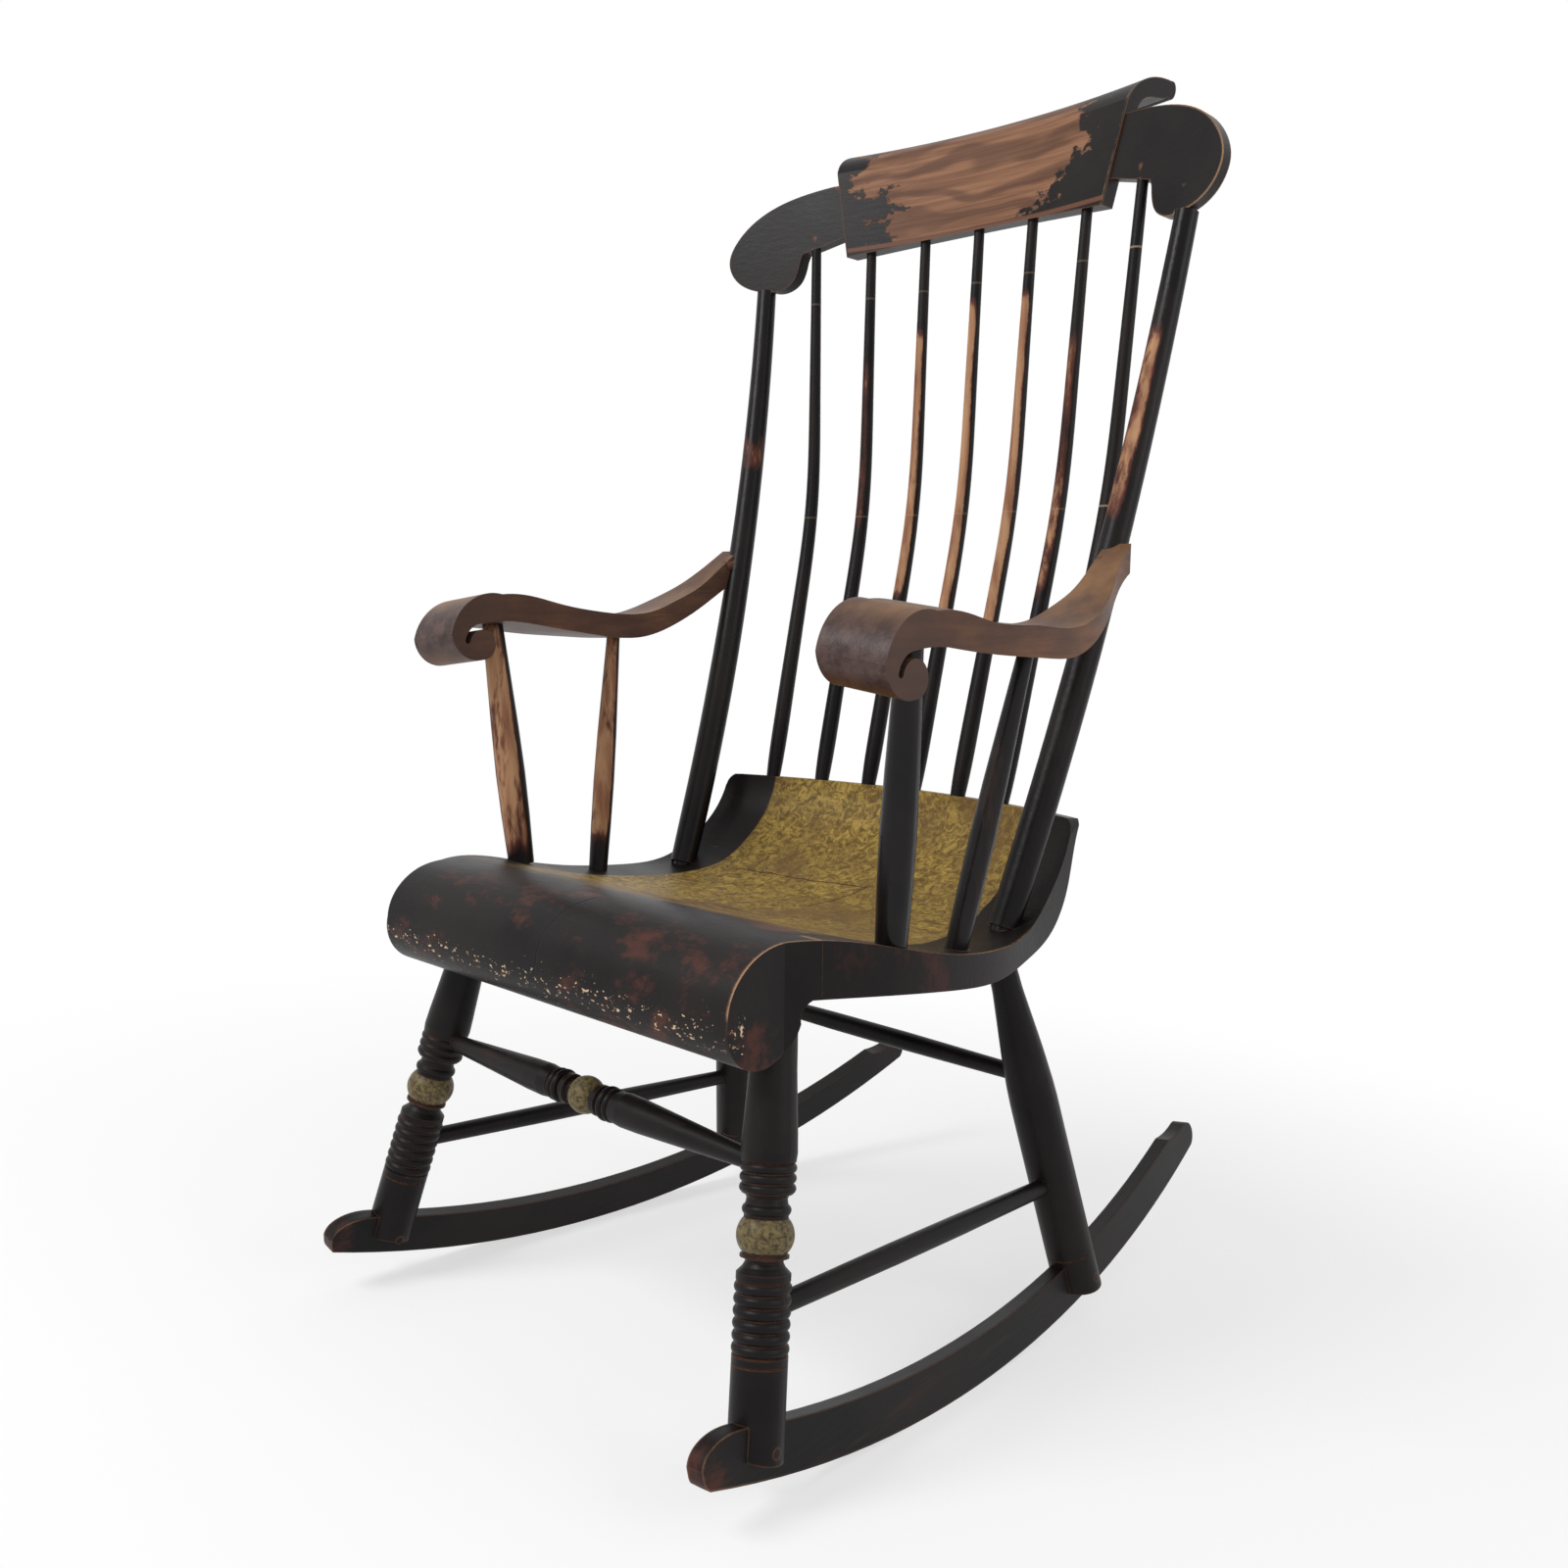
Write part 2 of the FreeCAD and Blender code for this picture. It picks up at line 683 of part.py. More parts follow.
def crest_front_y(x, z):
    """The crest's front face: curved in plan and leaning back."""
    curve = CREST_RADIUS - math.sqrt(CREST_RADIUS**2 - x**2)
    return CREST_FRONT_Y - curve + CREST_LEAN * (z - CREST_BOTTOM_Z)


def ear_middle_y(x, z):
    """The middle of an ear's thickness."""
    return crest_front_y(x, z) + EAR_SETBACK + EAR_THICKNESS / 2


def swept_in_plan(edges):
    """Sweeps a section, drawn at x = 0, round the crest's plan curve."""
    centre = Vector(0, CREST_FRONT_Y - CREST_RADIUS, 0)
    half_angle = 30
    face = Part.Face(Part.Wire(edges))
    face.rotate(centre, Vector(0, 0, 1), half_angle)
    return face.revolve(centre, Vector(0, 0, 1), -2 * half_angle)


def tablet_section():
    """The tablet's section: a leaning board whose top edge rolls over backwards."""
    foot = CREST_BOTTOM_Z - 2
    top = CREST_TOP_Z
    t = TABLET_THICKNESS
    roll = TABLET_ROLL_TIP
    turn_z = top - 28
    front_low = yz(crest_front_y(0, foot), foot)
    front_high = yz(crest_front_y(0, turn_z), turn_z)
    back_low = yz(front_low.y + t, foot)
    back_high = yz(crest_front_y(0, turn_z - 6) + t, turn_z - 6)
    tip_y = front_high.y + TABLET_ROLL_REACH
    crown = yz(tip_y - roll * 0.7, top)
    under = yz(tip_y - roll * 0.8, top - roll)
    return [
        line(front_low, front_high),
        smooth([front_high, yz(front_high.y + 7, top - 18), yz(front_high.y + 27, top - 6), crown]),
        arc(crown, yz(tip_y, top - roll / 2), under),
        smooth([
            under,
            yz(back_high.y + 15, top - roll - 7),
            yz(back_high.y + 4, top - roll - 13),
            back_high,
        ]),
        line(back_high, back_low),
        line(back_low, front_low),
    ]


def ear_section():
    """A plain leaning board for the ears."""
    low = EAR_LOBE_BOTTOM_Z - 10
    high = CREST_TOP_Z
    near = [yz(ear_middle_y(0, z) - EAR_THICKNESS / 2, z) for z in (low, high)]
    far = [yz(p.y + EAR_THICKNESS, p.z) for p in near]
    return chain([near[0], near[1], far[1], far[0], near[0]])


def xz(x, z):
    return Vector(x, -HUGE / 4, z)


def ear_outline():
    """One ear seen from the front: a long falling back, a round lobe and a hollow under it."""
    reach = EAR_REACH
    low = EAR_LOBE_BOTTOM_Z
    top = EAR_TOP_Z
    root = EAR_ROOT_Z
    shoulder = xz(reach - 105, top)
    bottom = xz(reach - 42, low)
    notch = xz(reach - 75, root - 16)
    heel = xz(reach - 77, root - 10)
    inner_root = xz(reach - 129, root + 4)
    outer = smooth([
        shoulder,
        xz(reach - 61, top - 7.5),
        xz(reach - 30, top - 21),
        xz(reach - 7, top - 44),
        xz(reach, top - 66),
        xz(reach - 7, low + 15),
        xz(reach - 22, low + 4),
        bottom,
    ])
    inner = smooth([
        bottom,
        xz(reach - 60, low + 1),
        xz(reach - 69, low + 8),
        xz(reach - 73, low + 17),
        notch,
    ])
    edges = [line(xz(0, top), shoulder), outer, inner]
    edges += chain([notch, heel, inner_root, xz(0, root + 4), xz(0, top)])
    return Part.Wire(edges)


def make_crest():
    high = CREST_TOP_Z + 2
    bottom_left = xz(TABLET_HALF_BOTTOM, CREST_BOTTOM_Z)
    bottom_right = xz(-TABLET_HALF_BOTTOM, CREST_BOTTOM_Z)
    front = chain([bottom_right, xz(-TABLET_HALF_TOP, high), xz(TABLET_HALF_TOP, high), bottom_left])
    front.append(arc(bottom_left, xz(0, CREST_BOTTOM_Z + TABLET_ARCH), bottom_right))
    tablet = swept_in_plan(tablet_section())
    tablet = tablet.common(Part.Face(Part.Wire(front)).extrude(Vector(0, HUGE, 0)))
    ear = swept_in_plan(ear_section())
    ear = ear.common(Part.Face(ear_outline()).extrude(Vector(0, HUGE, 0)))
    return joined([tablet, ear, mirrored(ear)])


# Arms


def arm_section(x):
    """The arm cut through at x: scrolled front, crown, dip and rise to the post."""
    share = (x - ARM_INNER_X) / (ARM_OUTER_X - ARM_INNER_X)
    drop = ARM_OUTWARD_DROP * share
    thin = ARM_OUTER_THINNING * share
    t = ARM_THICKNESS
    crown = ARM_CROWN_Z - drop
    dip = ARM_DIP_Z - drop * 0.3
    front = ARM_FRONT_Y
    r = SCROLL_RADIUS
    s = SCROLL_SLOT
    eye_y = front + t + r - 4
    eye_z = crown - t - s - r - 3
    end_low = ARM_END_Z - 28 + thin

    def p(y, z):
        return Vector(x, y, z)

    def round_eye(radius, degrees):
        angle = math.radians(degrees)
        return p(eye_y + radius * math.cos(angle), eye_z + radius * math.sin(angle))

    top_start = p(front + 52, crown)
    top_end = p(ARM_END_Y + 20, ARM_END_Z + 12)
    low_end = p(ARM_END_Y + 20, end_low + 7)
    upper = smooth([
        top_start,
        p(front + 84, crown - 1.5),
        p(front + 115, crown - 8),
        p(front + 165, dip + 2.5),
        p(-25, dip),
        p(8, dip + 3),
        p(38, dip + 13),
        p(68, ARM_END_Z - 37),
        p(96, ARM_END_Z - 18),
        top_end,
    ])
    inlet = round_eye(r + s, 92)
    lower = smooth([
        low_end,
        p(102, end_low - 12),
        p(71, ARM_END_Z - 58 + thin * 0.8),
        p(39, dip - 10 + thin * 0.5),
        p(-8, dip - t + thin * 0.1),
        p(-54, dip - t + 1.5),
        p(front + 92, crown - t - 5),
        p(front + 62, crown - t - 1.5),
        inlet,
    ])
    slot_out = round_eye(r + s, 165)
    slot_end = round_eye(r + s / 2, 176)
    slot_in = round_eye(r, 165)
    eye_top = round_eye(r, 60)
    belly = round_eye(r, -90)
    nose = p(front, eye_z + 10)
    return Part.Wire([
        upper,
        line(top_end, low_end),
        lower,
        arc(inlet, round_eye(r + s, 130), slot_out),
        arc(slot_out, slot_end, slot_in),
        arc(slot_in, round_eye(r, 120), eye_top),
        arc(eye_top, round_eye(r, -15), belly),
        arc(belly, p(front + 7.5, eye_z - r * 0.45), nose),
        arc(nose, p(front + 14.5, crown - 9), top_start),
    ])


def arm_plan():
    """The arm from above: widest beyond its middle, narrow at the post."""
    inner = ARM_INNER_X
    outer = ARM_OUTER_X
    front = ARM_FRONT_Y - 10
    inner_side = [
        Vector(inner, front, 0),
        Vector(inner, -160, 0),
        Vector(inner + 1.5, -110, 0),
        Vector(inner + 5, -50, 0),
        Vector(inner + 8, 2, 0),
        Vector(inner + 9, 50, 0),
        Vector(inner + 6, ARM_END_Y, 0),
    ]
    outer_side = [
        Vector(outer - 29, ARM_END_Y, 0),
        Vector(outer - 22, 90, 0),
        Vector(outer - 11, 60, 0),
        Vector(outer - 2, 25, 0),
        Vector(outer + 2.5, -20, 0),
        Vector(outer + 3, -80, 0),
        Vector(outer + 0.5, -150, 0),
        Vector(outer, front, 0),
    ]
    outline = Part.Wire([
        smooth(inner_side),
        line(inner_side[-1], outer_side[0]),
        smooth(outer_side),
        line(outer_side[-1], inner_side[0]),
    ])
    return Part.Face(outline).extrude(Vector(0, 0, CREST_TOP_Z))


def arm_tenon(post_base, post_tip, extra=0.0):
    """The round tenon that the arm's end pushes into the post."""
    z = ARM_END_Z - 12
    post = post_at_height(post_base, post_tip, z)
    start = Vector(post.x + 3, post.y - POST_RADIUS - 6, z - 4)
    way = direction(start, Vector(post.x, post.y, z))
    stop = post + way * (ARM_TENON_LENGTH - POST_RADIUS)
    return pin(start, stop, ARM_TENON_RADIUS, extra)


def post_at_height(base, tip, z):
    """The post's centre at height z."""
    low = 0.0
    high = 1.0
    for _ in range(40):
        share = (low + high) / 2
        point, way = bow_point(base, tip, share)
        if point.z < z:
            low = share
        else:
            high = share
    return point


def make_arm():
    body = Part.makeLoft([arm_section(ARM_INNER_X - 20), arm_section(ARM_OUTER_X + 20)], True, True)
    return body.common(arm_plan())


# Arm supports


def make_support(base, top, full, slim, extra=0.0):
    """A turned arm support; base and top are the points where it meets seat and arm."""
    way = direction(base, top)
    span = base.distanceToPoint(top)
    tenon = SUPPORT_TENON_LENGTH
    steps = [
        (SUPPORT_TENON_RADIUS, -tenon),
        (SUPPORT_TENON_RADIUS, 0),
        (full * 0.88, 0),
        (full * 0.97, span * 0.2),
        (full, span * 0.38),
        (full * 0.93, span * 0.58),
        (slim, span),
        (SUPPORT_TENON_RADIUS, span),
        (SUPPORT_TENON_RADIUS, span + tenon),
    ]
    return along(turned(steps, extra), base, base + way)


def support_ends(plan_base, plan_top, seat, arm):
    """Shoulder points of an arm support, let a little into the seat and the arm."""
    base_z = height_inside(seat, plan_base[0], plan_base[1]) - LET_IN
    top_z = height_inside(arm, plan_top[0], plan_top[1], highest=False) + LET_IN
    return Vector(plan_base[0], plan_base[1], base_z), Vector(plan_top[0], plan_top[1], top_z)


def spindle_ends(index, riser, crest):
    """Shoulder points of one spindle, let a little into the riser and the crest."""
    place = index - (SPINDLE_COUNT - 1) / 2
    base_x = place * SPINDLE_BASE_PITCH
    top_x = place * SPINDLE_TOP_PITCH
    base_y = RISER_END_Y + riser_push(base_x) + SEAT_RISER_THICKNESS / 2
    top_y = ear_middle_y(top_x, CREST_BOTTOM_Z)
    base_z = height_inside(riser, base_x, base_y) - LET_IN
    top_z = height_inside(crest, top_x, top_y, highest=False) + LET_IN
    return Vector(base_x, base_y, base_z), Vector(top_x, top_y, top_z)


def centre_of_mass(shapes):
    total = sum(shape.Volume for shape in shapes)
    return sum((shape.Solids[0].CenterOfMass * shape.Volume for shape in shapes), Vector()) * (1 / total)


def set_at_rest(nodes):
    """Rolls the chair on its rockers until its centre of mass stands over the point of contact."""
    axle = Vector(0, ROCKER_BALANCE_Y, ROCKER_SOLE_RADIUS)
    mass = centre_of_mass(list(nodes.values()))
    roll = math.degrees(math.atan((axle.y - mass.y) / (axle.z - mass.z)))
    print("rolls forward by", round(roll, 3), "degrees")
    for shape in nodes.values():
        shape.rotate(axle, Vector(1, 0, 0), roll)
    span = nodes["rocker_left"].BoundBox
    shift = -(span.YMin + span.YMax) / 2
    print("shifts along Y by", round(shift, 3))
    for shape in nodes.values():
        shape.translate(Vector(0, shift, 0))


def main():
    os.makedirs("parts", exist_ok=True)
    block = make_seat_block()
    front_roll, plank, riser = split_seat(block)
    crest = make_crest()
    arm = make_arm()
    rocker = make_rocker()

    # Legs on the rockers, let into the seat
    front_top = Vector(FRONT_LEG_TOP[0], FRONT_LEG_TOP[1], LEG_SHOULDER_Z + 20)
    back_top = Vector(BACK_LEG_TOP[0], BACK_LEG_TOP[1], LEG_SHOULDER_Z + 4)
    front_peg_room = make_peg(FRONT_FOOT, FRONT_LEG_RADIUS, GLUE)
    back_peg_room = make_peg(BACK_FOOT, BACK_LEG_RADIUS, GLUE)
    front_leg, front_leg_room = make_leg(
        FRONT_FOOT, front_top, front_leg_profile, FRONT_CHEEK_GAP, front_peg_room)
    back_leg, back_leg_room = make_leg(
        BACK_FOOT, back_top, back_leg_profile, BACK_CHEEK_GAP, back_peg_room)
    rocker = rocker.cut(front_peg_room).cut(back_peg_room)

    # Stretchers
    def on_front_leg(z):
        return at_height(FRONT_FOOT, front_top, z)

    def on_back_leg(z):
        return at_height(BACK_FOOT, back_top, z)

    front_mark = on_front_leg(FRONT_STRETCHER_Z)
    rear_mark = on_back_leg(REAR_STRETCHER_Z)
    front_stretcher, front_room = make_stretcher(
        Vector(-front_mark.x, front_mark.y, front_mark.z), front_mark,
        FRONT_LEG_RADIUS, FRONT_LEG_RADIUS, front_stretcher_profile)
    rear_stretcher, rear_room = make_stretcher(
        Vector(-rear_mark.x, rear_mark.y, rear_mark.z), rear_mark,
        BACK_LEG_RADIUS, BACK_LEG_RADIUS, plain_stretcher(REAR_STRETCHER_RADIUS))
    side_stretcher, side_room = make_stretcher(
        on_front_leg(SIDE_STRETCHER_FRONT_Z), on_back_leg(SIDE_STRETCHER_BACK_Z),
        FRONT_LEG_RADIUS, BACK_LEG_RADIUS, plain_stretcher(SIDE_STRETCHER_RADIUS))
    front_leg = front_leg.cut(front_room).cut(side_room)
    back_leg = back_leg.cut(rear_room).cut(side_room)

    # Posts, spindles, arms and arm supports
    post_z = height_inside(block, POST_BASE[0], POST_BASE[1]) - LET_IN
    post_base = Vector(POST_BASE[0], POST_BASE[1], post_z)
    post_tip_y = ear_middle_y(POST_TOP_X, EAR_LOBE_BOTTOM_Z)
    post_tip = Vector(POST_TOP_X, post_tip_y, EAR_LOBE_BOTTOM_Z)
    post = make_post(post_base, post_tip)
    post_room = make_post(post_base, post_tip, GLUE)
    arm = joined([arm.cut(post_room), arm_tenon(post_base, post_tip)])
    post = post.cut(arm_tenon(post_base, post_tip, GLUE))
    front_base, front_tip = support_ends(FRONT_SUPPORT_BASE, FRONT_SUPPORT_TOP, block, arm)
    rear_base, rear_tip = support_ends(REAR_SUPPORT_BASE, REAR_SUPPORT_TOP, block, arm)
    front_size = (FRONT_SUPPORT_RADIUS, FRONT_SUPPORT_TOP_RADIUS)
    rear_size = (REAR_SUPPORT_RADIUS, REAR_SUPPORT_TOP_RADIUS)
    front_support = make_support(front_base, front_tip, *front_size)
    rear_support = make_support(rear_base, rear_tip, *rear_size)
    front_support_room = make_support(front_base, front_tip, *front_size, extra=GLUE)
    rear_support_room = make_support(rear_base, rear_tip, *rear_size, extra=GLUE)
    arm = arm.cut(front_support_room).cut(rear_support_room)

    nodes = {}
    back_rooms = [post_room, mirrored(post_room)]
    for index in range(SPINDLE_COUNT):
        base, tip = spindle_ends(index, riser, crest)
        nodes["spindle_%d" % (index + 1)] = make_spindle(base, tip)
        back_rooms.append(make_spindle(base, tip, GLUE))
    for room in back_rooms:
        crest = crest.cut(room)
        riser = riser.cut(room)
    seat_rooms = [front_leg_room, back_leg_room, post_room, front_support_room, rear_support_room]
    for room in seat_rooms + [mirrored(room) for room in seat_rooms]:
        plank = plank.cut(room)
    front_roll = front_roll.cut(front_leg_room).cut(mirrored(front_leg_room))

    nodes["crest_rail"] = crest
    nodes["seat_plank"] = plank
    nodes["seat_front_roll"] = front_roll
    nodes["seat_back_riser"] = riser
    nodes["front_stretcher"] = front_stretcher
    nodes["rear_stretcher"] = rear_stretcher
    pairs = {
        "rocker": rocker,
        "front_leg": front_leg,
        "back_leg": back_leg,
        "front_rocker_peg": make_peg(FRONT_FOOT, FRONT_LEG_RADIUS).common(front_leg_room),
        "back_rocker_peg": make_peg(BACK_FOOT, BACK_LEG_RADIUS).common(back_leg_room),
        "side_stretcher": side_stretcher,
        "back_post": post,
        "arm": arm,
        "arm_front_support": front_support,
        "arm_rear_support": rear_support,
    }
    for name, shape in pairs.items():
        nodes[name + "_left"] = shape
        nodes[name + "_right"] = mirrored(shape)
    set_at_rest(nodes)
    for name, shape in nodes.items():
        shape.exportStep("parts/%s.step" % name)
        box = shape.BoundBox
        print(name, shape.isValid(), len(shape.Solids), round(shape.Volume),
              [round(v) for v in (box.XMin, box.XMax, box.YMin, box.YMax, box.ZMin, box.ZMax)])


main()
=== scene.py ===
import math

import bpy
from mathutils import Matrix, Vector

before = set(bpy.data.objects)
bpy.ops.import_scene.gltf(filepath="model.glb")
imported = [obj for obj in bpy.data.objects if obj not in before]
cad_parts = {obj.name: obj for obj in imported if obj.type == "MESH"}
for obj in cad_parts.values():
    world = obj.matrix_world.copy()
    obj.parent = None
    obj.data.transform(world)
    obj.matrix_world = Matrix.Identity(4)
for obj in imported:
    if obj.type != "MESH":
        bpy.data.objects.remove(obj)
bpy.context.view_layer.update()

# A Boston rocking chair in worn black paint, in metres.
# Finishes are laid out on the chair as it stands with its rockers level, before it tips forward
# to where it rests: X to the sitter's left, -Y to the front, Z up from the floor.
REST_ROLL = math.radians(5.578)
REST_BACK = (0.0, 0.0016, -0.0040)

CAMERA_PLACE = (0.7883, -0.9448, 0.5294)
CAMERA_TURN = (86.112, -4.245, 42.667)
CAMERA_LENS = 31.5

# Paint and wood colours
SOOT = (0.0042, 0.0033, 0.0034)
SMOKE = (0.0125, 0.0092, 0.0090)
UMBER = (0.036, 0.020, 0.014)
RED_GROUND = (0.085, 0.026, 0.017)
TAN_WOOD = (0.42, 0.235, 0.125)
RED_WOOD = (0.225, 0.095, 0.052)
CHIP = (0.66, 0.47, 0.31)
BRASS = (0.17, 0.13, 0.06)
BRASS_DARK = (0.05, 0.037, 0.02)
CREST_DARK = (0.125, 0.055, 0.030)
CREST_LIGHT = (0.255, 0.125, 0.068)
CREST_RING = (0.062, 0.028, 0.018)
END_LINE = (0.26, 0.17, 0.08)
GOLD_DARK = (0.120, 0.072, 0.020)
GOLD = (0.44, 0.30, 0.072)
GOLD_BROWN = (0.13, 0.075, 0.03)
BARE_ARRIS = (0.55, 0.30, 0.16)
CRACK = (0.012, 0.008, 0.006)
ARM_DARK = (0.075, 0.032, 0.018)
ARM_BROWN = (0.160, 0.072, 0.037)
ARM_FIBRE = (0.035, 0.015, 0.010)
ARM_CROWN_WEAR_AND_LIGHT = (0.27, 0.150, 0.070)
ARM_SIDE_SHADE = (0.05, 0.026, 0.02)
SCROLL_DARK = (0.028, 0.015, 0.013)
SCROLL_LIGHT = (0.078, 0.044, 0.038)

# Where a front leg stands and meets the seat, and how far up it its bronze ball reaches
LEG_FOOT = (0.220, -0.295, 0.066)
LEG_TOP = (0.1715, -0.226, 0.3455)
LEG_BALL = (0.1220, 0.1435)

# The studio
KEY_LAMP = {"place": (-0.7, -2.3, 2.3), "size": 1.3, "power": 55.0}
FILL_LAMP = {"place": (2.6, 0.4, 1.6), "size": 1.6, "power": 16.0}
LAMP_AIM = (0.0, 0.0, 0.5)
FLOOR_SIZE = 30.0
FLOOR_PALE = (0.93, 0.93, 0.93, 1.0)
FLOOR_FADE_START = 0.5
FLOOR_FADE_END = 1.4
FLOOR_GLOW = 0.6
WORLD_LIGHT = 0.55


class Field:
    """A number that a material works out at each point; sums and products make new nodes."""

    def __init__(self, paint, socket):
        self.paint = paint
        self.socket = socket

    def math(self, operation, *others):
        return self.paint.math(operation, self, *others)

    def __add__(self, other):
        return self.math("ADD", other)

    def __sub__(self, other):
        return self.math("SUBTRACT", other)

    def __mul__(self, other):
        return self.math("MULTIPLY", other)

    __radd__ = __add__
    __rmul__ = __mul__

    def __rsub__(self, other):
        return self.paint.math("SUBTRACT", other, self)

    def size(self):
        return self.math("ABSOLUTE")

    def either(self, other):
        return self.math("MAXIMUM", other)

    def rise(self, low, high, start=0.0, end=1.0, smooth=True):
        """Goes from start at low to end at high and stays there."""
        node = self.paint.node("ShaderNodeMapRange")
        node.interpolation_type = "SMOOTHSTEP" if smooth else "LINEAR"
        values = (self, low, high, start, end)
        for name, value in zip(("Value", "From Min", "From Max", "To Min", "To Max"), values):
            self.paint.put(value, node.inputs[name])
        return Field(self.paint, node.outputs["Result"])

    def within(self, low, high, soft):
        """1 between low and high, fading over soft at both ends."""
        return self.rise(low - soft, low + soft) * self.rise(high - soft, high + soft, 1.0, 0.0)


class Paint:
    """One procedural finish, built up in layers from the bare ground."""

    def __init__(self, name, ground, seed=0):
        self.material = bpy.data.materials.new(name)
        self.material.use_nodes = True
        self.tree = self.material.node_tree
        self.shader = self.tree.nodes["Principled BSDF"]
        self.seed = seed
        place = self.node("ShaderNodeTexCoord").outputs["Object"]
        level = self.node("ShaderNodeMapping")
        level.inputs["Location"].default_value = REST_BACK
        level.inputs["Rotation"].default_value = (-REST_ROLL, 0.0, 0.0)
        self.tree.links.new(place, level.inputs["Vector"])
        self.place = level.outputs["Vector"]
        self.x, self.y, self.z = self.parts(self.place)
        self.facing = self.parts(self.node("ShaderNodeNewGeometry").outputs["Normal"])
        self.colour = ground
        self.rough = None
        self.height = None

    def node(self, kind):
        return self.tree.nodes.new(kind)

    def put(self, value, socket):
        if isinstance(value, Field):
            value = value.socket
        if isinstance(value, bpy.types.NodeSocket):
            self.tree.links.new(value, socket)
        elif isinstance(value, tuple) and len(value) == 3 and socket.type == "RGBA":
            socket.default_value = (*value, 1.0)
        else:
            socket.default_value = value

    def math(self, operation, *values):
        node = self.node("ShaderNodeMath")
        node.operation = operation
        for value, socket in zip(values, node.inputs):
            self.put(value, socket)
        return Field(self, node.outputs["Value"])

    def parts(self, vector):
        node = self.node("ShaderNodeSeparateXYZ")
        self.put(vector, node.inputs[0])
        return [Field(self, socket) for socket in node.outputs]

    def noise(self, scale, stretch=(1.0, 1.0, 1.0), detail=4.0, rough=0.5, warp=0.0):
        """Noise of that scale per metre, shrunk along each axis by stretch."""
        self.seed += 1
        mapping = self.node("ShaderNodeMapping")
        mapping.inputs["Scale"].default_value = stretch
        mapping.inputs["Location"].default_value = (self.seed * 3.7, self.seed * 1.3, self.seed * 2.1)
        self.put(self.place, mapping.inputs["Vector"])
        node = self.node("ShaderNodeTexNoise")
        self.put(mapping.outputs["Vector"], node.inputs["Vector"])
        settings = (("Scale", scale), ("Detail", detail), ("Roughness", rough), ("Distortion", warp))
        for name, value in settings:
            node.inputs[name].default_value = value
        return Field(self, node.outputs["Fac"])

    def arris(self, radius):
        """0 on flat faces, rising towards 1 within radius of an edge."""
        bevel = self.node("ShaderNodeBevel")
        bevel.samples = 4
        bevel.inputs["Radius"].default_value = radius
        dot = self.node("ShaderNodeVectorMath")
        dot.operation = "DOT_PRODUCT"
        self.put(bevel.outputs["Normal"], dot.inputs[0])
        self.put(self.node("ShaderNodeNewGeometry").outputs["Normal"], dot.inputs[1])
        return (1.0 - Field(self, dot.outputs["Value"])).rise(0.01, 0.2)

    def shade(self, share, low, high):
        """A colour between two others."""
        node = self.node("ShaderNodeMix")
        node.data_type = "RGBA"
        self.put(share, node.inputs["Factor"])
        self.put(low, node.inputs["A"])
        self.put(high, node.inputs["B"])
        return node.outputs["Result"]

    def layer(self, share, colour, rough=None, height=None):
        """Lays a colour over what is there, where share is 1."""
        share = share.math("MINIMUM", 1.0)
        self.colour = self.shade(share, self.colour, colour)
        if rough is not None:
            self.rough = self.rough + (rough - self.rough) * share
        if height is not None:
            self.height = self.height + share * height

    def finish(self, specular=0.13, bump=0.0006, soft=0.0):
        shader = self.shader
        self.put(self.colour, shader.inputs["Base Color"])
        self.put(self.rough, shader.inputs["Roughness"])
        shader.inputs["Specular IOR Level"].default_value = specular
        node = self.node("ShaderNodeBump")
        node.inputs["Distance"].default_value = bump
        node.inputs["Strength"].default_value = 1.0
        self.put(self.height, node.inputs["Height"])
        if soft:
            bevel = self.node("ShaderNodeBevel")
            bevel.inputs["Radius"].default_value = soft
            self.put(bevel.outputs["Normal"], node.inputs["Normal"])
        self.put(node.outputs["Normal"], shader.inputs["Normal"])
        return self.material


def black_paint(name, seed, grain=(1.0, 1.0, 0.12), wear=0.5, gloss=0.0):
    """Old black paint, a little brown where thin, rubbed along its edges; grain shrinks one axis."""
    paint = Paint(name, SOOT, seed)
    cloud = paint.noise(7, detail=5, rough=0.6)
    strokes = paint.noise(230, grain, detail=3, rough=0.6)
    paint.colour = paint.shade(cloud.rise(0.35, 0.7), SOOT, SMOKE)
    paint.rough = cloud.rise(0.3, 0.7, 0.34 - gloss, 0.46 - gloss)
    paint.height = strokes * 0.35 + paint.noise(900, detail=2) * 0.12
    thin = paint.noise(22, grain, detail=6, rough=0.65)
    paint.layer((thin + strokes * 0.25).rise(0.72, 0.86) * 0.5, UMBER, 0.5)
    edge = paint.arris(0.0022)
    ragged = paint.noise(60, detail=5, rough=0.7)
    # Where wear is set high, as on the rockers, this edge rub also serves as painted highlight along the
    # rounded arris.
    rubbed = edge * wear + ragged * 0.8
    paint.layer(rubbed.rise(0.70, 0.92) * 0.5, UMBER, 0.5)
    paint.layer(rubbed.rise(0.86, 1.0) * 0.45, RED_WOOD, 0.55, -0.2)
    return paint


